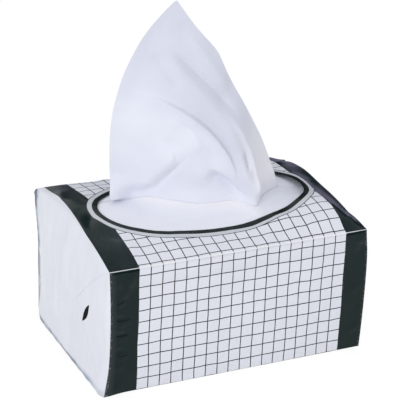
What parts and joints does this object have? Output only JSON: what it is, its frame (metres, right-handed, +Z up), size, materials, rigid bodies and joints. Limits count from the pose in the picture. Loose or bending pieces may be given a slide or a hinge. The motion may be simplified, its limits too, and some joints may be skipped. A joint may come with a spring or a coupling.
{
  "type": "film pack of wipes",
  "caption": "Soft film-wrapped pack of folded wipes with a crowned top and an oval tear-out, one wipe pulled up through it as a tent.",
  "frame": {"origin": "middle of the base, on the table", "axes": "+Z up, +Y from the front panel to the back panel, +X along the pack to the right as seen from the front"},
  "size_m": [0.2362, 0.1533, 0.287],
  "materials": {
    "film": "glossy printed film, white with dark green bands and a thin black grid",
    "wipes": "soft white nonwoven"
  },
  "bodies": {
    "root": {"film_wrapper": "film", "wipe_stack": "wipes", "next_wipe": "wipes", "raised_wipe": "wipes"}
  },
  "joints": []
}
